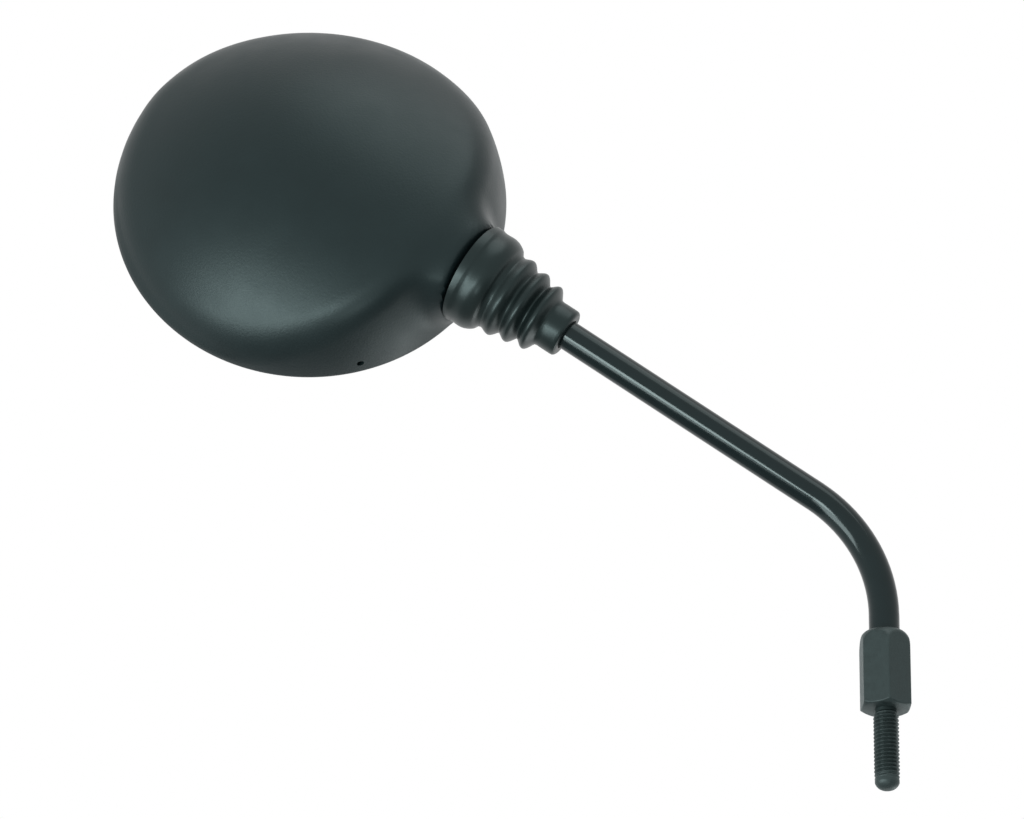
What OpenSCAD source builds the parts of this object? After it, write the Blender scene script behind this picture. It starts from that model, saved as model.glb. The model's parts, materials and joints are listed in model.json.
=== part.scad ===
// Round mirror for a moped or small motorcycle, seen from behind in its usual place.
// Z runs up the axis of the threaded stud and Z = 0 is the face of the hexagon that seats on the lever clamp.
// The stem bends towards -X, the closed back of the head looks towards -Y and the glass towards +Y.

/* [Stud and hexagon foot] */
// Major diameter of the stud's thread
stud_d = 8; // [6:0.5:9]
// Length of the stud below the seat face
stud_len = 26.6; // [16:0.2:40]
// Radius of the rounding on the stud's tip
stud_nose = 2.4; // [0.8:0.2:2.8]
// Width of the hexagon across its flats
hex_af = 15; // [15:0.5:19]
// Height of the hexagon with its crown
hex_h = 25.6; // [22:0.2:36]
// Height of the rounded crown on top of the hexagon
crown_len = 5.2; // [3.6:0.2:7]
// Angle of the lower corner chamfers from the face
chamfer_deg = 30; // [20:1:40]
// Diameter of the chamber inside the hexagon
chamber_d = 12.4; // [12:0.1:12.8]
// Radial play of the stem in the crown
crown_play = 0.08; // [0.04:0.01:0.1]

/* [Friction stack in the foot] */
// Thickness of the collar on the stem's end
collar_t = 4.2; // [3:0.2:6]
// Diameter of the stem's spigot in the collar
spigot_d = 7; // [5:0.5:8]
// Thickness of the friction ring over the collar
friction_t = 1.4; // [1:0.1:2]
// Thickness of the thrust washer under the collar
washer_t = 1.2; // [0.8:0.1:2]
// Height of the loaded disc spring under the washer
spring_h = 1.7; // [1.4:0.1:3]
// Sheet thickness of both disc springs
spring_t = 0.7; // [0.5:0.1:1]
// Radial gap between the stack and the chamber's wall
stack_gap = 0.3; // [0.25:0.05:0.5]

/* [Stem] */
// Diameter of the stem
rod_d = 9.7; // [8:0.1:10.4]
// Straight length between the crown and the bend
lead_len = 6; // [2:0.5:30]
// Radius of the bend's centreline
bend_r = 48; // [30:1:80]
// Rise of the straight part over the horizontal
stem_rise = 33.5; // [20:0.5:60]
// Length from the end of the bend to the centre of the ball
reach = 131; // [100:1:180]
// Diameter of the waist behind the ball
waist_d = 6.6; // [5.6:0.2:7]
// Length from the ball's centre to where the full diameter starts
waist_len = 14; // [12.5:0.5:18]

/* [Ball joint] */
// Diameter of the ball
ball_d = 15; // [15:0.5:15.5]
// Thickness of the seat cup's nylon
cup_t = 1.9; // [1.5:0.1:2]
// Radial play between ball, cups and socket
ball_play = 0.05; // [0.03:0.01:0.08]
// Angle from the stem's axis at which the seat cup starts
cup_from = 46; // [44:1:50]
// Angle from the stem's axis at which the seat cup ends
cup_to = 78; // [72:1:80]
// Outer diameter of the clamp cup
clamp_d = 21.4; // [20.6:0.2:21.6]
// Length of the clamp cup along the neck
clamp_len = 8.4; // [7.8:0.2:9]
// Free height of the disc spring behind the clamp cup
press_h = 1.6; // [1.4:0.1:2.4]
// Sheet thickness of the clamp bracket
bracket_t = 1.6; // [1.2:0.1:2]

/* [Neck] */
// Outer diameter of the neck
neck_d = 28; // [27:0.5:29]
// Length of the neck past the ball's centre
neck_len = 9.5; // [9:0.1:10]
// Distance of the ball's centre outside the rim
ball_off = 1; // [0.6:0.1:3]
// Height of the ball over the rim
ball_up = 19.8; // [19.4:0.1:21]
// Lean of the head to the stem
head_lean = 4; // [0:0.5:6]

/* [Housing] */
// Diameter of the head at its rim
head_d = 129.4; // [126:0.2:140]
// Wall thickness of the housing
wall = 2.2; // [1.8:0.1:2.6]
// Height of the upright rim
rim_h = 3; // [2.5:0.5:5]
// Greatest height of the back over the rim
back_h = 38; // [36:0.5:42]
// Distance of the highest point from the middle towards the neck
back_at = 10; // [4:1:20]
// Radius of the back across the neck's direction
back_r = 78; // [74:1:90]
// Fall of the back towards the neck
fall_near = 5; // [3:0.5:9]
// Fall of the back towards the far rim
fall_far = 28; // [22:1:30]
// Radius of the side wall's upward curve
side_r = 90; // [80:1:120]
// Inward lean of the side wall at the rim
side_lean = 5; // [2:1:8]
// Diameter of the drain hole
drain_d = 2.4; // [1.5:0.1:3]

/* [Glass] */
// Width of rim and gasket around the glass
glass_border = 5.7; // [5:0.1:9]
// Thickness of the glass
glass_t = 2; // [1.6:0.1:2.4]
// Radius of the glass's convex face
glass_curve = 1200; // [800:50:2000]
// Depth of the glass's edge behind the rim
glass_in = 1.8; // [1.7:0.1:2.2]
// Width of the gasket's lip over the glass
lip_w = 1.6; // [1:0.1:2.4]
// Thickness of the foam pad at its edge
pad_t = 1.2; // [0.8:0.1:1.4]

/* [Fasteners] */
// Diameter of the clamp screws
screw_d = 3; // [2.5:0.1:3.2]
// Length of the clamp screws under the head
screw_len = 10; // [8:0.5:11]
// Diameter of the screw heads
screw_head_d = 5.6; // [5:0.1:6]
// Height of the screw heads
screw_head_h = 2.2; // [1.8:0.1:2.4]
// Diameter of the bosses
boss_d = 7; // [6:0.1:7.4]
// Sheet thickness of the lock washers
lock_t = 0.7; // [0.5:0.1:0.9]

/* [Boot] */
// Diameter of the boot's cuff on the neck
cuff_d = 34.3; // [33:0.1:36]
// Diameter of the collar on the stem
grip_d = 16.4; // [15:0.1:18]
// Length of the collar on the stem
grip_len = 7; // [5:0.5:10]
// Number of folds between cuff and collar
folds = 3; // [2:1:4]
// Distance from fold to fold
fold_pitch = 6; // [5:0.1:7]
// Diameter of the first fold
fold_d = 28; // [27.6:0.1:30]
// Loss of diameter from fold to fold
fold_step = 2.3; // [1.6:0.1:2.6]
// Wall thickness of the rubber
rubber_t = 1.5; // [1:0.1:1.8]
// Distance from the ball's centre to the end of the cuff's full diameter
cuff_at = 1.4; // [0.8:0.1:2]
// Distance from the ball's centre to the cuff's edge, towards the head
cuff_back = 1.2; // [0.8:0.1:1.6]
// Slant of the cuff's edge beside the housing
cuff_slant = 6; // [5:0.5:8]

/* [Hidden] */
$fn = 96;
seam = 0.01;
reach_far = 200;

screws = [for (i = [1:3]) i];

// Foot
rod_r = rod_d / 2;
crown_bore_r = rod_r + crown_play;
chamber_r = chamber_d / 2;
stack_r = chamber_r - stack_gap;
crown_wall = 3.8;
chamber_top = hex_h - crown_wall;
friction_z = chamber_top - friction_t;
collar_z = friction_z - collar_t;
washer_z = collar_z - washer_t;
chamber_floor = washer_z - spring_h;
hex_corner_r = hex_af / 2 / cos(30);
corner_break = 0.3;

// Stem
bend_deg = 90 - stem_rise;
bend_z = hex_h + lead_len;
bend_end = [-bend_r + bend_r * cos(bend_deg), 0, bend_z + bend_r * sin(bend_deg)];
along = [-cos(stem_rise), 0, sin(stem_rise)];
ball_pos = bend_end + reach * along;

// Ball joint, in the neck's frame: X points from the ball down the stem
ball_r = ball_d / 2;
tang_r = 2.5;
tang_from = 2 - ball_r;
waist_from = ball_r - 1.5;
cup_in_r = ball_r + ball_play;
cup_out_r = cup_in_r + cup_t;
socket_r = cup_out_r + ball_play;
clamp_r = clamp_d / 2;
clamp_from = -0.6;
clamp_back = clamp_from - clamp_len;
neck_bore_r = clamp_r + 0.3;
spring_back = clamp_back - press_h;
bracket_face = spring_back;
neck_r = neck_d / 2;
mouth_deg = cup_from - 4;
mouth_r = socket_r * sin(mouth_deg);
mouth_x = socket_r * cos(mouth_deg);
nose_taper = [5.3, 3];
neck_nose_r = neck_r - nose_taper[1];
neck_full = neck_len - nose_taper[0];
bore_back = clamp_back - 2;
neck_back = clamp_back + 1;
bracket_hole_r = 2;
tab_w = 14;
tab_top = 4.5;

// Head, in its own frame: X points from the middle of the rim to the neck, Z out of the back
rim_r = head_d / 2;
ball_out = rim_r + ball_off;
inner_r = rim_r - wall;
barrel_z = back_h - back_r;
glass_r = rim_r - glass_border;
glass_sag = glass_curve - sqrt(glass_curve * glass_curve - glass_r * glass_r);
gasket_play = 0.1;
gasket_r = inner_r - gasket_play;
glass_back = glass_in + glass_t;
ledge_z = glass_back + pad_t;
ledge_w = 7;
ledge_t = 1.3;
plate_z = 13;
boss_z = plate_z + bracket_t;
boss_back = [21.7, 35.7];
boss_y = 15;
boss_points = [[ball_out - boss_back[0], boss_y], [ball_out - boss_back[0], -boss_y], [ball_out - boss_back[1], 0]];
drain_at = -42;
drain_z = 8;
cheek_r = cuff_d / 2 - 1.1;
cheek_len = 26;
cheek_gap = 0.7;

function arc(c, r, a, b, n) = [for (i = [0:n]) c + r * [cos(a + (b - a) * i / n), sin(a + (b - a) * i / n)]];
function spine_r(x) = back_r - (x > back_at
    ? fall_near * pow((x - back_at) / (rim_r - back_at), 2)
    : fall_far * pow((back_at - x) / (rim_r + back_at), 2.5));

// The neck's frame has its origin in the ball, X down the stem and Z out of the head's back
module in_neck() {
    translate(ball_pos) rotate([0, stem_rise, 0]) rotate([90, 0, 0]) children();
}

module in_head() {
    in_neck() rotate([0, -head_lean, 0]) translate([-ball_out, 0, -ball_up]) children();
}

// Turns an outline of [radius, place] pairs about the neck's axis
module turn_on_neck() {
    rotate([0, 90, 0]) rotate_extrude() children();
}

module tube(outer, inner, height) {
    difference() {
        cylinder(r = outer, h = height);
        translate([0, 0, -1]) cylinder(r = inner, h = height + 2);
    }
}

// Cone of sheet metal, as a disc spring is pressed
module cone_washer(outer, inner, height, sheet) {
    rotate_extrude()
        polygon([[outer, 0], [outer, sheet], [inner, height], [inner, height - sheet]]);
}

module hex_blank() {
    rise = (hex_corner_r - hex_af / 2) * tan(chamfer_deg);
    face_r = hex_af / 2 - corner_break;
    top_r = crown_bore_r + 0.5;
    out_r = hex_corner_r + 0.2;
    intersection() {
        linear_extrude(hex_h) rotate(30) circle(r = hex_corner_r, $fn = 6);
        rotate_extrude() polygon(concat(
            [[0, 0], [face_r, 0], [out_r, rise + corner_break], [out_r, hex_h - crown_len]],
            [for (i = [1:8]) [top_r + (out_r - top_r) * cos(90 * i / 8),
                hex_h - crown_len * (1 - sin(90 * i / 8))]],
            [[0, hex_h]]
        ));
    }
}

module stud() {
    nose = min(stud_nose, stud_d / 2 - 0.4);
    rotate_extrude() polygon(concat(
        [[0, seam], [stud_d / 2, seam]],
        arc([stud_d / 2 - nose, nose - stud_len], nose, 0, -90, 6),
        [[0, -stud_len]]
    ));
}

module hex_foot() {
    color([0.16, 0.18, 0.18]) difference() {
        union() {
            hex_blank();
            stud();
        }
        translate([0, 0, chamber_floor]) cylinder(r = chamber_r, h = chamber_top - chamber_floor);
        translate([0, 0, chamber_floor]) cylinder(r = crown_bore_r, h = hex_h);
    }
}

module disc_spring() {
    color([0.35, 0.36, 0.37]) translate([0, 0, chamber_floor])
        cone_washer(stack_r, spigot_d / 2, spring_h, spring_t);
}

module thrust_washer() {
    color([0.75, 0.76, 0.74]) translate([0, 0, washer_z]) tube(stack_r, spigot_d / 4, washer_t);
}

module foot_collar() {
    color([0.3, 0.31, 0.32]) translate([0, 0, collar_z]) tube(stack_r, spigot_d / 2, collar_t);
}

module friction_ring() {
    color([0.72, 0.62, 0.4]) translate([0, 0, friction_z]) tube(stack_r, rod_r + 0.3, friction_t);
}

module stem_rod() {
    color([0.08, 0.09, 0.09]) {
        rotate_extrude() polygon([
            [0, collar_z], [spigot_d / 2, collar_z], [spigot_d / 2, friction_z],
            [rod_r, friction_z], [rod_r, bend_z], [0, bend_z]
        ]);
        translate([-bend_r, 0, bend_z]) rotate([90, 0, 0])
            rotate_extrude(angle = bend_deg) translate([bend_r, 0]) circle(r = rod_r - 0.02);
        in_neck() turn_on_neck() polygon([
            [0, tang_from], [tang_r, tang_from], [tang_r, waist_from], [waist_d / 2, waist_from],
            [waist_d / 2, waist_len - 2], [rod_r, waist_len], [rod_r, reach + 0.5], [0, reach + 0.5]
        ]);
    }
}

module pivot_ball() {
    color([0.7, 0.71, 0.72]) in_neck() difference() {
        sphere(r = ball_r);
        rotate([0, 90, 0]) translate([0, 0, tang_from - seam]) cylinder(r = tang_r + seam, h = 2 * ball_r);
        rotate([0, 90, 0]) translate([0, 0, waist_from - seam]) cylinder(r = waist_d / 2 + seam, h = ball_r);
    }
}

module seat_cup() {
    color([0.9, 0.88, 0.82]) in_neck() turn_on_neck() polygon(concat(
        arc([0, 0], cup_in_r, 90 - cup_from, 90 - cup_to, 10),
        arc([0, 0], cup_out_r, 90 - cup_to, 90 - cup_from, 10)
    ));
}

module clamp_cup() {
    color([0.9, 0.88, 0.82]) in_neck() difference() {
        rotate([0, 90, 0]) translate([0, 0, clamp_back]) cylinder(r = clamp_r, h = clamp_len);
        sphere(r = cup_in_r);
        rotate([0, -90, 0]) cylinder(r = ball_r / 2, h = 2 * clamp_len);
    }
}

module press_spring() {
    color([0.45, 0.46, 0.48]) in_neck() rotate([0, -90, 0]) translate([0, 0, -clamp_back])
        cone_washer(clamp_r - 1.2, ball_r / 2 + 0.6, press_h, spring_t);
}

module clamp_bracket() {
    tab_foot = plate_z - ball_up + 0.4;
    color([0.72, 0.7, 0.6]) difference() {
        union() {
            in_head() translate([0, 0, plate_z]) linear_extrude(bracket_t) difference() {
                hull() {
                    for (p = boss_points) translate(p) circle(r = boss_d / 2);
                    translate([ball_out + bracket_face - 2.2, -tab_w / 2]) square([1, tab_w]);
                }
                for (p = boss_points) translate(p) circle(r = screw_d / 2 + 0.2);
            }
            in_neck() translate([bracket_face - bracket_t, -tab_w / 2, tab_foot])
                cube([bracket_t, tab_w, tab_top - tab_foot]);
        }
        in_neck() translate([bracket_face - 3, 0, 0]) rotate([0, 90, 0]) cylinder(r = bracket_hole_r, h = 6);
    }
}

module clamp_screw(i) {
    color([0.6, 0.62, 0.64]) in_head() translate(boss_points[i - 1]) {
        translate([0, 0, plate_z - lock_t - screw_head_h]) difference() {
            cylinder(r = screw_head_d / 2, h = screw_head_h);
            for (a = [0, 90]) rotate(a) translate([-1.6, -0.35, -1]) cube([3.2, 0.7, 2.2]);
        }
        translate([0, 0, plate_z - lock_t - seam]) cylinder(r = screw_d / 2, h = screw_len);
    }
}

module lock_washer(i) {
    color([0.5, 0.52, 0.54]) in_head() translate(boss_points[i - 1]) translate([0, 0, plate_z - lock_t])
        tube(screw_head_d / 2, screw_d / 2 + 0.15, lock_t);
}

// Back of the housing, drawn in by an even depth: a barrel about an axis along the neck
module back_form(depth) {
    over = rim_r + 2;
    translate([0, 0, barrel_z]) rotate([0, 90, 0]) rotate_extrude($fn = 180) polygon(concat(
        [[0, -over]],
        [for (i = [0:18]) let (x = -over + 2 * over * i / 18) [spine_r(x) - depth, x]],
        [[0, over]]
    ));
}

// Outer form of the housing, drawn in by an even depth: an upright curved side cut by the back
module head_form(depth) {
    side_c = [rim_r - side_r * cos(side_lean), -side_r * sin(side_lean)];
    top_deg = asin((back_h + 2 - side_c[1]) / side_r);
    intersection() {
        rotate_extrude() polygon(concat(
            [[0, -depth * 4]], [[rim_r - depth, -depth * 4]],
            arc(side_c, side_r - depth, side_lean, top_deg, 12),
            [[0, back_h + 2]]
        ));
        union() {
            back_form(depth);
            translate([0, 0, -depth * 4]) cylinder(r = rim_r - depth, h = rim_h + depth * 4);
        }
    }
}

module neck_in_head() {
    translate([ball_out, 0, ball_up]) rotate([0, head_lean, 0]) children();
}

// Everything on the stem's side of a slanted plane across the neck
module past_slant(x) {
    translate([x, 0, 0]) rotate([0, -cuff_slant, 0]) translate([0, -cuff_d, -cuff_d]) cube(2 * cuff_d);
}

// Root of the neck: the back runs on over it up to the cuff's edge
module neck_root() {
    intersection() {
        neck_in_head() difference() {
            rotate([0, 90, 0]) translate([0, 0, -cheek_len]) cylinder(r = cheek_r, h = cheek_len + cuff_d / 4);
            past_slant(-cuff_back - cheek_gap);
        }
        back_form(0);
    }
}

module above_rim() {
    translate([-reach_far, -reach_far, 0]) cube(2 * reach_far);
}

module housing_shell() {
    color([0.13, 0.14, 0.14]) difference() {
        union() {
            in_head() difference() {
                union() {
                    intersection() {
                        head_form(0);
                        above_rim();
                    }
                    neck_root();
                }
                head_form(wall);
            }
            in_head() intersection() {
                union() {
                    for (p = boss_points) translate([p[0], p[1], boss_z]) cylinder(r = boss_d / 2, h = back_h);
                    translate([0, 0, ledge_z]) tube(rim_r - 0.5, inner_r - ledge_w, ledge_t);
                }
                head_form(wall / 2);
            }
            in_neck() turn_on_neck() polygon([
                [0, neck_back], [neck_r, neck_back], [neck_r, neck_full], [neck_nose_r, neck_len], [0, neck_len]
            ]);
        }
        in_neck() turn_on_neck() polygon(concat(
            [[0, bore_back], [neck_bore_r, bore_back], [neck_bore_r, 0]],
            arc([0, 0], socket_r, 0, 90 - mouth_deg, 10),
            [[mouth_r, mouth_x], [mouth_r + 1.4, neck_len + 1], [0, neck_len + 1]]
        ));
        in_head() {
            for (p = boss_points) translate([p[0], p[1], boss_z - 1])
                cylinder(r = screw_d / 2 - 0.2, h = screw_len + 1);
            rotate(drain_at) translate([rim_r - 8, 0, drain_z]) rotate([0, 90, 0])
                cylinder(r = drain_d / 2, h = 20);
        }
    }
}

function bow(r, lift) = lift - glass_sag + glass_curve - sqrt(glass_curve * glass_curve - r * r);

module mirror_glass() {
    rows = [for (i = [0:8]) glass_r * i / 8];
    color([0.75, 0.8, 0.84]) in_head() rotate_extrude() polygon(concat(
        [for (r = rows) [r, bow(r, glass_in)]],
        [for (i = [8:-1:0]) [rows[i], bow(rows[i], glass_back)]]
    ));
}

module foam_pad() {
    edge = glass_r - lip_w - 0.1;
    color([0.25, 0.25, 0.26]) in_head() rotate_extrude() polygon(concat(
        [for (i = [0:8]) [edge * i / 8, bow(edge * i / 8, glass_back + 0.02)]],
        [[edge, ledge_z - 0.05], [0, ledge_z - 0.05]]
    ));
}

module glass_gasket() {
    grip_r = glass_r - lip_w;
    color([0.05, 0.05, 0.05]) in_head() intersection() {
        rotate_extrude() polygon([
            [grip_r, glass_in - 1.5], [gasket_r - 0.4, glass_in - 1.7], [gasket_r, glass_in - 1.2],
            [gasket_r, ledge_z], [grip_r, ledge_z], [grip_r, glass_back + 0.05],
            [glass_r + 0.05, glass_back + 0.05], [glass_r + 0.05, glass_in - 0.05], [grip_r, glass_in - 0.1]
        ]);
        head_form(wall + gasket_play);
    }
}

// Folds of the boot: each adds a groove and a crest, ever smaller towards the stem
fold_from = 9.3;
function groove_r(i) = fold_d / 2 - 0.9 - i * 1.4 * fold_step / 2;
function crest_r(i) = fold_d / 2 - i * fold_step / 2;
grip_from = fold_from + folds * fold_pitch;
boot_end = grip_from + grip_len;
boot_outer = concat(
    [[cuff_d / 2, -8], [cuff_d / 2, 0.4], [cuff_d / 2 - 0.5, 3], [cuff_d / 2 - 1.8, 6],
     [cuff_d / 2 - 3.2, 8.2]],
    [for (i = [0:folds - 1]) each [
        [groove_r(i), fold_from + i * fold_pitch],
        [crest_r(i) - 0.3, fold_from + (i + 0.38) * fold_pitch],
        [crest_r(i), fold_from + (i + 0.5) * fold_pitch],
        [crest_r(i) - 0.5, fold_from + (i + 0.64) * fold_pitch]]],
    [[grip_d / 2, grip_from], [grip_d / 2, boot_end - 0.8], [grip_d / 2 - 0.8, boot_end]]
);
boot_inner = concat(
    [[rod_r + 0.3, boot_end], [rod_r + 0.3, grip_from + 0.6]],
    [for (j = [0:folds - 1]) let (i = folds - 1 - j) each [
        [crest_r(i) - rubber_t - 0.4, fold_from + (i + 0.56) * fold_pitch],
        [crest_r(i) - rubber_t - 0.4, fold_from + (i + 0.44) * fold_pitch],
        [groove_r(i) - rubber_t, fold_from + i * fold_pitch - 0.1]]],
    [[neck_r + 0.15, neck_full - cuff_at + 0.2], [neck_r + 0.15, -8]]
);

module rubber_boot() {
    color([0.1, 0.11, 0.11]) in_neck() difference() {
        translate([cuff_at, 0, 0]) turn_on_neck() polygon(concat(boot_outer, boot_inner));
        mirror([1, 0, 0]) mirror([0, 0, 1]) past_slant(cuff_back);
    }
}

hex_foot();
disc_spring();
thrust_washer();
foot_collar();
friction_ring();
stem_rod();
pivot_ball();
seat_cup();
clamp_cup();
press_spring();
clamp_bracket();
rubber_boot();
housing_shell();
mirror_glass();
glass_gasket();
foam_pad();
for (i = screws) clamp_screw(i);
for (i = screws) lock_washer(i);
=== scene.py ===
import json
from math import cos, pi, radians, sin

import bmesh
import bpy
import numpy as np
from mathutils import Matrix, Vector


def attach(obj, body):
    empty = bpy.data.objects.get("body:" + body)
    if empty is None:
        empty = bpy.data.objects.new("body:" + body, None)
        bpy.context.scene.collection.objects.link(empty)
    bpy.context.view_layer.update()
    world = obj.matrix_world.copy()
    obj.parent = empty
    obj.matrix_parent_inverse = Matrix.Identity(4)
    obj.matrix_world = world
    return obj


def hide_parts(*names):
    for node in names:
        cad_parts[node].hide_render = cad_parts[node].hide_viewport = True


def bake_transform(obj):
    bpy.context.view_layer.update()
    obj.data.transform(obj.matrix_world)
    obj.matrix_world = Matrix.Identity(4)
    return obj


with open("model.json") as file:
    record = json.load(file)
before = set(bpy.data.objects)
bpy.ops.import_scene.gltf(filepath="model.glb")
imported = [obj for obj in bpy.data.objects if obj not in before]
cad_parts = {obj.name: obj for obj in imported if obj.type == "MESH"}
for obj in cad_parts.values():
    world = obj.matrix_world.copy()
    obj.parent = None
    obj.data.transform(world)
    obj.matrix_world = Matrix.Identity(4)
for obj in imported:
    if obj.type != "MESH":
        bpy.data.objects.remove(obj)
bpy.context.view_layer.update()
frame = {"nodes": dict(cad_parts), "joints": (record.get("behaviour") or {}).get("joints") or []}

# HOUSING: one moulded black shell, an upright side with a barrel shaped back over it, softly rounded where
# they meet. A short neck stands out of the side towards the stem and holds the ball joint, and a drain hole
# sits low in the side. The neck is drawn along X from the ball, the head round Z from the middle of its rim.
mm = 0.001
joints = {joint["name"]: joint for joint in frame["joints"]}
ball = Vector(joints["head_spin"]["pos_m"])
neck_axes = Matrix([joints[name]["axis"] for name in ("head_spin", "head_tilt", "head_pan")]).transposed()
neck_place = Matrix.Translation(ball) @ neck_axes.to_4x4()
# The ball lies beside and above the middle of the rim, and the neck leans back by some degrees.
neck_out, neck_up, neck_lean = 65.7, 19.8, 4
rim_middle = Matrix.Translation((-neck_out * mm, 0, -neck_up * mm))
head_place = neck_place @ Matrix.Rotation(radians(-neck_lean), 4, "Y") @ rim_middle


def mesh_piece(name, rings, place):
    """A closed piece from equal rings of points in millimetres, the last ring joined to the first."""
    count, wide = len(rings), len(rings[0])
    points = [place @ (Vector(point) * mm) for ring in rings for point in ring]
    faces = []
    for i in range(count):
        k = (i + 1) % count
        for j in range(wide):
            n = (j + 1) % wide
            faces.append((i * wide + j, i * wide + n, k * wide + n, k * wide + j))
    data = bpy.data.meshes.new(name)
    data.from_pydata(points, [], faces)
    built = bmesh.new()
    built.from_mesh(data)
    bmesh.ops.remove_doubles(built, verts=built.verts, dist=1e-7)
    bmesh.ops.dissolve_degenerate(built, edges=built.edges, dist=1e-8)
    bmesh.ops.recalc_face_normals(built, faces=built.faces)
    built.to_mesh(data)
    built.free()
    piece = bpy.data.objects.new(name, data)
    bpy.context.scene.collection.objects.link(piece)
    return piece


def turned(name, profile, place, sides=128):
    """A turned piece from a closed outline of [place along X, radius] pairs in millimetres."""
    turns = [2 * pi * j / sides for j in range(sides)]
    return mesh_piece(name, [[(x, r * cos(t), r * sin(t)) for t in turns] for x, r in profile], place)


def cut(piece, tool, kind="DIFFERENCE"):
    """Cuts a piece with a tool piece, or joins the two into one solid, and takes the tool away."""
    work = piece.modifiers.new("cut", "BOOLEAN")
    work.operation, work.object, work.solver = kind, tool, "EXACT"
    bpy.context.view_layer.update()
    data = bpy.data.meshes.new_from_object(piece.evaluated_get(bpy.context.evaluated_depsgraph_get()))
    piece.modifiers.clear()
    piece.data = data
    bpy.data.objects.remove(tool)


def smooth(piece, crease):
    """Even shading with creases sharper than that angle kept."""
    piece.data.shade_smooth()
    piece.data.set_sharp_from_angle(angle=radians(crease))


def finish_of(name, colour, rough, grain, bump, metal=0.0, mottle=0.1, patch=60, rough_by=0.08,
              specular=0.5, tint=(1, 1, 1), painted_gap_shade=False):
    """A surface with fine grain, uneven colour and uneven gloss. It can carry painted shade in narrow gaps,
    where its shine is taken away.
    """
    made = bpy.data.materials.new(name)
    made.use_nodes = True
    nodes, links = made.node_tree.nodes, made.node_tree.links
    skin = nodes["Principled BSDF"]
    skin.inputs["Metallic"].default_value = metal
    skin.inputs["Specular Tint"].default_value = (*tint, 1)
    skin.inputs["Specular IOR Level"].default_value = specular
    spot = nodes.new("ShaderNodeTexCoord")
    fine = nodes.new("ShaderNodeTexNoise")
    fine.inputs["Scale"].default_value = grain
    fine.inputs["Detail"].default_value = 4
    broad = nodes.new("ShaderNodeTexNoise")
    broad.inputs["Scale"].default_value = patch
    broad.inputs["Detail"].default_value = 6
    blend = nodes.new("ShaderNodeMix")
    blend.data_type = "RGBA"
    blend.inputs["A"].default_value = (*[c * (1 - mottle) for c in colour], 1)
    blend.inputs["B"].default_value = (*[min(1, c * (1 + mottle)) for c in colour], 1)
    gloss = nodes.new("ShaderNodeMapRange")
    gloss.inputs["To Min"].default_value = max(0.01, rough - rough_by)
    gloss.inputs["To Max"].default_value = min(1, rough + rough_by)
    relief = nodes.new("ShaderNodeBump")
    relief.inputs["Strength"].default_value = bump
    relief.inputs["Distance"].default_value = 0.2 * mm
    links.new(spot.outputs["Object"], fine.inputs["Vector"])
    links.new(spot.outputs["Object"], broad.inputs["Vector"])
    links.new(broad.outputs["Fac"], blend.inputs["Factor"])
    links.new(blend.outputs["Result"], skin.inputs["Base Color"])
    links.new(broad.outputs["Fac"], gloss.inputs["Value"])
    links.new(gloss.outputs["Result"], skin.inputs["Roughness"])
    links.new(fine.outputs["Fac"], relief.inputs["Height"])
    links.new(relief.outputs["Normal"], skin.inputs["Normal"])
    if painted_gap_shade:
        # Painted shade: the shine fades where other surfaces stand within 4 mm and close most of the view.
        nook = nodes.new("ShaderNodeAmbientOcclusion")
        shine = nodes.new("ShaderNodeMapRange")
        nook.samples = 8
        nook.inputs["Distance"].default_value = 4 * mm
        shine.inputs["From Min"].default_value = 0.25
        shine.inputs["From Max"].default_value = 0.85
        shine.inputs["To Max"].default_value = specular
        links.new(nook.outputs["AO"], shine.inputs["Value"])
        links.new(shine.outputs["Result"], skin.inputs["Specular IOR Level"])
    return made


def wear(piece, material):
    """Gives a piece its one finish."""
    piece.data.materials.clear()
    piece.data.materials.append(material)


# The side is an upright arc that leans inwards. The back is a barrel whose spine falls from its highest place
# both ways. The edge between them is rounded, tightly at the rim and more and more above it.
rim_r, rim_h, wall = 64.7, 1.2, 2.2
edge_round, inner_round = 5, 9
rim_edge_round, rim_edge_grow = 0.8, 1.2
side_r, side_lean = 90, radians(5)
side_x, side_z = rim_r - side_r * cos(side_lean), -side_r * sin(side_lean)
barrel_z, barrel_narrow = -40, 0.97
spine_r, spine_x = 78, 10
near_fall, far_fall, far_power = 3.5, 29.5, 2.1
root_r, root_in, root_slope = 15.8, 2.9, 0.105
root_edge, root_blend = 1.3, 9.0
around = np.linspace(0, 2 * pi, 240, endpoint=False)
falls = np.linspace(pi / 2, 0.0, 76)
halvings = 40


def soft_low(a, b, width):
    """The lower of two distances, blended over a width."""
    share = np.maximum(width - np.abs(a - b), 0) / width
    return np.minimum(a, b) - share * share * width / 4


def spine_at(x):
    """Radius of the barrel along the head. It falls a little towards the neck, and far more the other way."""
    near = near_fall * (np.abs(x - spine_x) / (rim_r - spine_x)) ** 2
    far = far_fall * (np.abs(spine_x - x) / (rim_r + spine_x)) ** far_power
    return spine_r - np.where(x > spine_x, near, far)


def neck_root(x, y, z):
    """Distance outside the round foot of the neck, which stands beside the rim and swells into the side."""
    lean_cos, lean_sin = cos(radians(neck_lean)), sin(radians(neck_lean))
    along = (x - neck_out) * lean_cos - (z - neck_up) * lean_sin
    over = (x - neck_out) * lean_sin + (z - neck_up) * lean_cos
    return -soft_low(root_r - np.hypot(y, over), -(along + root_in + root_slope * over), root_edge)


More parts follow.
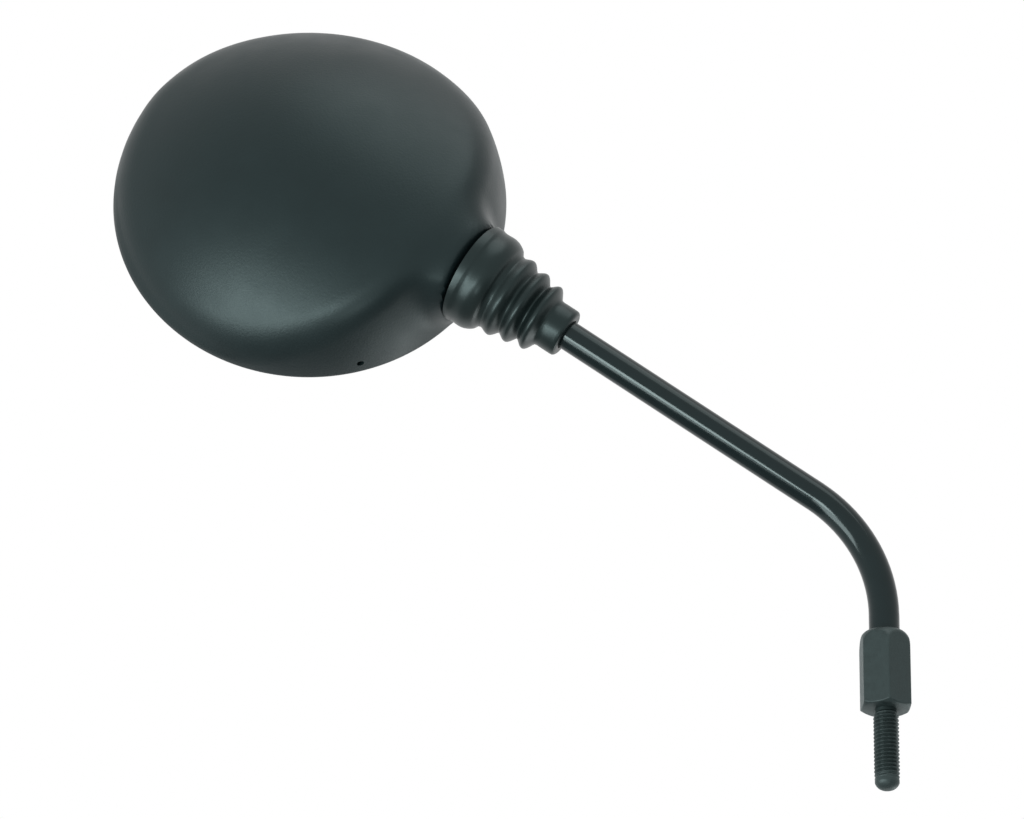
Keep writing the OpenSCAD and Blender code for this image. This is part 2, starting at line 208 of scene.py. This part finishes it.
def back_of_head(fall, turn, depth, rounding):
    """How far the form reaches in one direction from over the rim's middle, less a depth, by halving."""
    near, far = np.zeros_like(fall), np.full_like(fall, 100.0)
    for _ in range(halvings):
        mid = (near + far) / 2
        r, z = mid * np.sin(fall), rim_h + mid * np.cos(fall)
        x, y = r * np.cos(turn), r * np.sin(turn)
        upright = np.hypot(r - side_x, z - side_z) - (side_r - depth)
        barrel = np.hypot(barrel_narrow * y, z - barrel_z) - (spine_at(x) - depth)
        if depth == 0:
            upright = soft_low(upright, neck_root(x, y, z), root_blend)
        blend = np.clip(rim_edge_grow * z, rim_edge_round, rounding)
        outside = -soft_low(-upright, -barrel, blend) > 0
        near, far = np.where(outside, near, mid), np.where(outside, mid, far)
    return near


def shell_rings(depth, rounding):
    """Rings of the rounded back, from the rim's height up to the crown."""
    rings = []
    for fall in falls:
        out = back_of_head(np.full_like(around, fall), around, depth, rounding)
        rings.append([(d * sin(fall) * cos(t), d * sin(fall) * sin(t), rim_h + d * cos(fall))
                      for d, t in zip(out, around)])
    return rings


def rim_ring(inset, height):
    """One ring of the upright rim, drawn in by an inset."""
    return [((rim_r - inset) * cos(t), (rim_r - inset) * sin(t), height) for t in around]


skin_rings = [rim_ring(0.6, 0), rim_ring(0.18, 0.18), rim_ring(0.05, 0.6)] + shell_rings(0.0, edge_round)
inner_rings = [rim_ring(wall, 0), rim_ring(wall, rim_h - 0.2)] + shell_rings(wall, inner_round)
housing = mesh_piece("housing", skin_rings + inner_rings[::-1], head_place)

# The neck has a groove behind the cuff's edge; its bore ends in the round seat of the ball.
neck_outline = [(-8, 0), (-8, 11.6), (0.2, 11.6), (0.6, 14), (4.2, 14), (9.0, 11.3), (9.5, 10.8), (9.5, 0)]
bore_r, seat_r = 11, 9.5
seat_arc = [(seat_r * sin(radians(a)), seat_r * cos(radians(a))) for a in range(6, 49, 6)]
bore_outline = [(-11, 0), (-11, bore_r), (0, bore_r), (0, seat_r)] + seat_arc + [(10.5, 7.8), (10.5, 0)]
drain_turn, drain_up, drain_r = radians(-40), 4.9, 1.2
drain_place = head_place @ Matrix.Rotation(drain_turn, 4, "Z") @ Matrix.Translation((0, 0, drain_up * mm))
cut(housing, turned("neck", neck_outline, neck_place), "UNION")
cut(housing, turned("bore", bore_outline, neck_place))
cut(housing, turned("drain", [(50, 0), (50, drain_r), (80, drain_r), (80, 0)], drain_place, 32))
smooth(housing, 38)
# Painted shade: the housing's shine is taken away in narrow gaps.
wear(housing, finish_of("housing plastic", (0.005, 0.010, 0.011), 0.40, grain=1300, bump=0.22, mottle=0.15,
                        patch=90, specular=0.32, tint=(0.75, 1, 1), painted_gap_shade=True))
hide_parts("housing_shell")
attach(housing, "head")

# MIRROR GLASS: a slightly convex disc, silvered, that faces the rider. It lies in the rim of the housing,
# and the lip of a rubber ring holds it there.
glass_r, glass_thick, glass_up, glass_curve = 59, 2.0, 1.8, 1200
glass_rise = glass_curve - (glass_curve ** 2 - glass_r ** 2) ** 0.5
glass_radii = [glass_r * i / 40 for i in range(41)]


def glass_ring(r, up):
    """One ring of a face of the glass, on the sphere that the glass is cut from."""
    z = up - glass_rise + glass_curve - (glass_curve ** 2 - r ** 2) ** 0.5
    return [(r * cos(t), r * sin(t), z) for t in around]


front_rings = [glass_ring(r, glass_up) for r in glass_radii]
rear_rings = [glass_ring(r, glass_up + glass_thick) for r in glass_radii]
glass = mesh_piece("glass", front_rings + rear_rings[::-1], head_place)
smooth(glass, 30)
wear(glass, finish_of("silvered glass", (0.88, 0.90, 0.91), 0.03, metal=1.0, grain=300, bump=0.002,
                      mottle=0.01, patch=12, rough_by=0.015))
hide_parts("mirror_glass")
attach(glass, "head")

# GASKET AND PAD: a moulded ring of black rubber laps over the edge of the glass and seals it in the rim.
# A foam disc presses on the glass from behind, so that it doesn't rattle.
solids = frame["nodes"]
gasket_rubber = finish_of("gasket rubber", (0.018, 0.020, 0.020), 0.62, grain=900, bump=0.2)
foam = finish_of("foam", (0.06, 0.06, 0.065), 0.95, grain=1800, bump=0.8, mottle=0.3, patch=900)
wear(solids["glass_gasket"], gasket_rubber)
wear(solids["foam_pad"], foam)

# BALL JOINT: a ground steel ball on the end of the stem turns between two moulded nylon cups. A disc spring
# presses them together, loaded by a zinc plated bracket that three screws with lock washers hold.
nylon = finish_of("nylon", (0.74, 0.71, 0.62), 0.45, grain=700, bump=0.05, mottle=0.04)
zinc = finish_of("zinc plating", (0.62, 0.63, 0.62), 0.32, metal=1.0, grain=1100, bump=0.05, mottle=0.08)
spring_steel = finish_of("spring steel", (0.30, 0.31, 0.32), 0.38, metal=1.0, grain=1600, bump=0.08,
                         mottle=0.12)
ground_steel = finish_of("ground steel", (0.5, 0.51, 0.52), 0.22, metal=1.0, grain=2400, bump=0.05,
                         mottle=0.05)
wear(solids["pivot_ball"], ground_steel)
wear(solids["seat_cup"], nylon)
wear(solids["clamp_cup"], nylon)
wear(solids["press_spring"], spring_steel)
wear(solids["clamp_bracket"], zinc)
for number in (1, 2, 3):
    wear(solids[f"clamp_screw_{number}"], zinc)
    wear(solids[f"lock_washer_{number}"], zinc)

# BOOT: one moulded rubber bellows. Its cuff grips the neck, slanted beside the housing, three folds let it
# bend, and its collar grips the stem. It is drawn in three lengths that meet in the grooves; the cuff goes
# with the head.
# Painted shade: the boot's shine is taken away in narrow gaps between its folds and at the housing.
boot_rubber = finish_of("boot rubber", (0.005, 0.009, 0.009), 0.34, grain=1000, bump=0.08, mottle=0.12,
                        patch=120, rough_by=0.06, specular=0.34, tint=(0.75, 1, 1), painted_gap_shade=True)
grooves = [(10.7, 13.1), (16.7, 11.5), (22.7, 9.9), (28.6, 8.3)]
crests = [(13.7, 14.0), (19.7, 12.85), (25.7, 11.7)]
boot_sides = 160


def fold_side(groove, crest):
    """Points from a groove up to a crest, rounded at both."""
    parts = 14
    climbs = [(0.5 - 0.5 * cos(pi * i / parts)) ** 0.8 for i in range(parts + 1)]
    return [(groove[0] + (crest[0] - groove[0]) * i / parts, groove[1] + (crest[1] - groove[1]) * climb)
            for i, climb in enumerate(climbs)]


def fold(number):
    """One whole fold, from its groove over the crest to the next groove."""
    climb = fold_side(grooves[number], crests[number])
    fall = fold_side(grooves[number + 1], crests[number])
    return climb[:-1] + fall[::-1]


cuff_outline = [
    (-6.6, 16.95), (-0.4, 17.0), (0.0, 16.95), (0.5, 16.75), (1.2, 16.65), (2.4, 16.65), (3.8, 16.75),
    (5.0, 16.7), (6.2, 16.4), (7.2, 15.95), (8.0, 15.45), (8.5, 15.05), (8.8, 14.6), (9.2, 13.9),
    (9.8, 13.35), (10.7, 13.1), (10.7, 11.6), (9.6, 12.2), (6.4, 14.15), (-6.6, 14.15),
]
cuff = turned("boot_cuff", cuff_outline, neck_place, boot_sides)
# The cuff's edge follows the housing, so it is cut off at a slant.
slant_in, slant_lean = 1.2, radians(-6)
slant_middle = neck_place @ Matrix.Translation((-slant_in * mm, 0, 0))
slant_place = slant_middle @ Matrix.Rotation(slant_lean, 4, "Y")
cut(cuff, turned("slant", [(-40, 0), (-40, 40), (0, 40), (0, 0)], slant_place, 64))
roll = cuff.modifiers.new("rolled edge", "BEVEL")
roll.width, roll.segments, roll.limit_method, roll.angle_limit = 0.45 * mm, 3, "ANGLE", radians(50)
smooth(cuff, 50)
wear(cuff, boot_rubber)
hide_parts("rubber_boot")
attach(cuff, "head")

bellows_inside = [(16.7, 10.0), (13.7, 12.1), (10.7, 11.6)]
bellows = turned("boot_bellows", fold(0) + bellows_inside, neck_place, boot_sides)
smooth(bellows, 60)
wear(bellows, boot_rubber)
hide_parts("rubber_boot")
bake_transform(bellows)

collar_end = [(29.4, 8.15), (30.4, 8.2), (34.2, 8.2), (35.0, 8.1), (35.4, 7.8), (35.7, 7.3), (35.7, 5.3)]
collar_inside = [
    (35.7, 5.15), (29.6, 5.15), (28.6, 6.7), (25.7, 9.8), (22.7, 8.4), (19.7, 10.95), (16.7, 10.0),
]
collar = turned("boot_collar", fold(1)[:-1] + fold(2) + collar_end + collar_inside, neck_place, boot_sides)
smooth(collar, 60)
wear(collar, boot_rubber)
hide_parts("rubber_boot")
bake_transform(collar)

# STEM: a round steel rod, bent once, in gloss black paint that shows a thin bright line along its side.
# Its lower end goes into the hexagon and its upper end carries the ball.
rod_paint = finish_of("gloss black paint", (0.005, 0.010, 0.011), 0.15, grain=500, bump=0.012, mottle=0.2,
                      patch=200, rough_by=0.03, specular=0.3, tint=(0.8, 1, 1))
wear(solids["stem_rod"], rod_paint)

# FOOT: a hexagon with a rounded crown and, below it, the M8 stud with its coarse thread, turned from one bar
# and given a dark matt phosphate finish. The thread is a real helix, 1.25 mm a turn, and the stud ends in
# a plain domed tip. Inside the hexagon is the stepped bore of the swivel.
# Painted shade: the foot's shine is taken away in narrow gaps, such as under the hexagon.
foot_steel = finish_of("phosphate", (0.018, 0.028, 0.028), 0.46, metal=0.2, grain=1500, bump=0.3, mottle=0.35,
                       patch=420, rough_by=0.12, tint=(0.8, 1, 1), painted_gap_shade=True)
foot_h, flat_r, corner_r, corner_keep = 25.6, 7.5, 8.5, 0.4
crown_z, crown_r, crown_swell = 18, 5.43, 3.43
chamfer_h, chamfer_r, chamfer_slope = 1.2, 7.2, 0.577
no_limit, edge_soft = 20, 0.35
mouth_r, mouth_z, room_r, room_z = 4.95, 21.8, 6.2, 13.3
under_r = 3.3


def foot_radius(turn, z):
    """Hexagon with its corners broken, cut by the crown above and by the chamfer below."""
    part = (turn + pi / 6) % (pi / 3) - pi / 6
    across = flat_r / cos(part)
    across -= max(0, across - corner_r) * (1 - corner_keep)
    if z > crown_z:
        limit = crown_r + crown_swell * (1 - min(1, (z - crown_z) / (foot_h - crown_z)) ** 2) ** 0.5
    elif z < chamfer_h:
        limit = chamfer_r + z / chamfer_slope
    else:
        limit = no_limit
    gap = max(0, edge_soft - abs(across - limit)) / edge_soft
    return min(across, limit) - gap * gap * edge_soft / 4


def level_ring(radius_at, turns, z):
    """A level ring round the stud's axis, with the radius that a function gives at each turn."""
    radii = [radius_at(t, z) for t in turns]
    return [(r * cos(t), r * sin(t), z) for r, t in zip(radii, turns)]


def round_ring(radius, z):
    """A level ring of one radius, as fine as the hexagon's."""
    return [(radius * cos(t), radius * sin(t), z) for t in foot_turns]


foot_turns = [2 * pi * j / 288 for j in range(288)]
chamfer_levels = [0, 0.05, 0.15] + [0.3 + 0.1 * i for i in range(12)]
flat_levels = [1.6 + 1.0 * i for i in range(18)]
crown_levels = [19.3 + 0.5 * i for i in range(3)] + [20.6 + 0.2 * i for i in range(23)]
top_levels = [25.1, 25.2, 25.3, 25.38, 25.45, 25.5, 25.55, 25.58, foot_h]
foot_levels = chamfer_levels + flat_levels + crown_levels + top_levels
hexagon_rings = [level_ring(foot_radius, foot_turns, z) for z in foot_levels]
mouth_rings = [round_ring(mouth_r, foot_h), round_ring(mouth_r, mouth_z)]
room_rings = [round_ring(room_r, mouth_z), round_ring(room_r, room_z), round_ring(0, room_z)]
under_rings = [round_ring(0, 0), round_ring(under_r, 0)]
foot = mesh_piece("hexagon", under_rings + hexagon_rings + mouth_rings + room_rings, Matrix.Identity(4))

# The stud, down from just inside the hexagon: undercut, thread, a plain end and the dome of its tip.
pitch, major, minor = 1.25, 4.0, 3.32
stud_top, stud_end, levels_a_turn = 0.1, -26.6, 12
undercut_end, undercut_fade = -0.9, 1.3
plain_r, plain_length, plain_fade = 3.85, 5.4, 2.4
dome_r, dome_h = 0.8, 3.2
root_share, flank_share = 0.06, 0.38
thread_turns = [2 * pi * j / 64 for j in range(64)]


def thread_radius(turn, z):
    """Flat crest and root with straight flanks between, fading out at the undercut and at the domed tip."""
    phase = (z / pitch - turn / (2 * pi)) % 1
    climb = min(1, max(0, (abs(phase - 0.5) - root_share) / flank_share))
    radius = minor + (major - minor) * climb
    if z > undercut_end - undercut_fade:
        radius = minor + (radius - minor) * max(0, (undercut_end - z) / undercut_fade)
    tip = z - stud_end
    radius += (plain_r - radius) * min(1, max(0, (plain_length - tip) / plain_fade))
    if tip < dome_h:
        radius = min(radius, dome_r + (dome_h ** 2 - (dome_h - tip) ** 2) ** 0.5)
    return radius


level_count = int((stud_top - stud_end) / pitch * levels_a_turn) + 1
thread_levels = [stud_top - i * pitch / levels_a_turn for i in range(level_count)]
thread_rings = [level_ring(thread_radius, thread_turns, z) for z in thread_levels]
stud_ends = [[(0, 0, z)] * len(thread_turns) for z in (stud_top, stud_end)]
stud = mesh_piece("stud", [stud_ends[0]] + thread_rings + [stud_ends[1]], Matrix.Identity(4))
joined = bmesh.new()
joined.from_mesh(foot.data)
joined.from_mesh(stud.data)
joined.to_mesh(foot.data)
joined.free()
bpy.data.objects.remove(stud)
smooth(foot, 35)
wear(foot, foot_steel)
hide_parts("hex_foot")
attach(foot, "foot")

# SWIVEL STACK: hidden in the foot. A ground steel collar on the stem turns on a ring of bearing bronze, and
# a zinc plated washer over a disc spring presses the two together, so that the stem stays where it is set.
bronze = finish_of("bronze", (0.55, 0.40, 0.18), 0.4, metal=1.0, grain=1500, bump=0.15, mottle=0.15)
wear(solids["disc_spring"], spring_steel)
wear(solids["thrust_washer"], zinc)
wear(solids["foot_collar"], ground_steel)
wear(solids["friction_ring"], bronze)

# FLOOR, LIGHT AND CAMERA: a plain pale floor far below, so that the whole object stands against white, a
# white room round it, five soft lamps, and a long lens that looks up at the back of the head.
floor_size, floor_z = 3.4, -1.3
bpy.ops.mesh.primitive_plane_add(size=floor_size, location=(0, 0, floor_z))
floor = bpy.context.object
floor.name = "floor"
pale = bpy.data.materials.new("pale floor")
pale.use_nodes = True
nodes, links = pale.node_tree.nodes, pale.node_tree.links
nodes["Principled BSDF"].inputs["Base Color"].default_value = (0.8, 0.8, 0.8, 1)
nodes["Principled BSDF"].inputs["Roughness"].default_value = 0.8
glow = nodes.new("ShaderNodeEmission")
path = nodes.new("ShaderNodeLightPath")
either = nodes.new("ShaderNodeMixShader")
links.new(path.outputs["Is Camera Ray"], either.inputs["Fac"])
links.new(nodes["Principled BSDF"].outputs["BSDF"], either.inputs[1])
links.new(glow.outputs["Emission"], either.inputs[2])
links.new(either.outputs["Shader"], nodes["Material Output"].inputs["Surface"])
floor.data.materials.append(pale)

scene = bpy.context.scene
room_light = 0.30
world = bpy.data.worlds.new("white room")
scene.world = world
world.use_nodes = True
nodes, links = world.node_tree.nodes, world.node_tree.links
path = nodes.new("ShaderNodeLightPath")
seen = nodes.new("ShaderNodeMath")
seen.operation = "MAXIMUM"
links.new(path.outputs["Is Camera Ray"], seen.inputs[0])
links.new(path.outputs["Is Transmission Ray"], seen.inputs[1])
mirrored = nodes.new("ShaderNodeMath")
mirrored.operation = "MAXIMUM"
links.new(seen.outputs["Value"], mirrored.inputs[0])
links.new(path.outputs["Is Glossy Ray"], mirrored.inputs[1])
level = nodes.new("ShaderNodeMapRange")
level.inputs["To Min"].default_value = room_light
level.inputs["To Max"].default_value = 1.0
links.new(mirrored.outputs["Value"], level.inputs["Value"])
links.new(level.outputs["Result"], nodes["Background"].inputs["Strength"])
nodes["Background"].inputs["Color"].default_value = (1, 1, 1, 1)


def lamp(name, place, aim, size, power):
    """A soft rectangular lamp at a place, turned towards its aim."""
    light = bpy.data.lights.new(name, "AREA")
    light.shape, light.size, light.size_y, light.energy = "RECTANGLE", size[0], size[1], power
    holder = bpy.data.objects.new(name, light)
    holder.location = place
    holder.rotation_euler = (Vector(aim) - Vector(place)).to_track_quat("-Z", "Y").to_euler()
    scene.collection.objects.link(holder)


lamp("key", (-1.20, -0.62, -0.56), (-0.18, 0, 0.13), (0.72, 0.72), 12.5)
lamp("strip", (-0.78, -0.99, -0.57), (-0.08, 0, 0.10), (0.34, 0.30), 5)
lamp("behind", (0.75, 0.95, -0.75), (-0.12, 0, 0.10), (0.6, 0.6), 3)
lamp("low", (-0.2, -0.78, -0.95), (-0.13, 0, 0.13), (0.25, 0.25), 2)
lamp("top", (0.2, -0.7, 1.5), (-0.1, 0, 0.1), (1.2, 1.2), 7)

camera_place = (-0.22159, -1.40556, -0.54493)
camera_turn, camera_fall, camera_roll = radians(4.201), radians(-24.486), radians(0.872)
ahead = Vector((sin(camera_turn) * cos(camera_fall), cos(camera_turn) * cos(camera_fall), -sin(camera_fall)))
level_right = Vector((cos(camera_turn), -sin(camera_turn), 0))
level_up = level_right.cross(ahead)
right = cos(camera_roll) * level_right + sin(camera_roll) * level_up
up = cos(camera_roll) * level_up - sin(camera_roll) * level_right
camera_data = bpy.data.cameras.new("camera")
camera_data.lens, camera_data.sensor_width, camera_data.clip_end = 170.9, 36, 50
camera = bpy.data.objects.new("camera", camera_data)
camera_turned = Matrix((right, up, -ahead)).transposed().to_4x4()
camera.matrix_world = Matrix.Translation(camera_place) @ camera_turned
scene.collection.objects.link(camera)
scene.camera = camera
scene.view_settings.view_transform = "Standard"
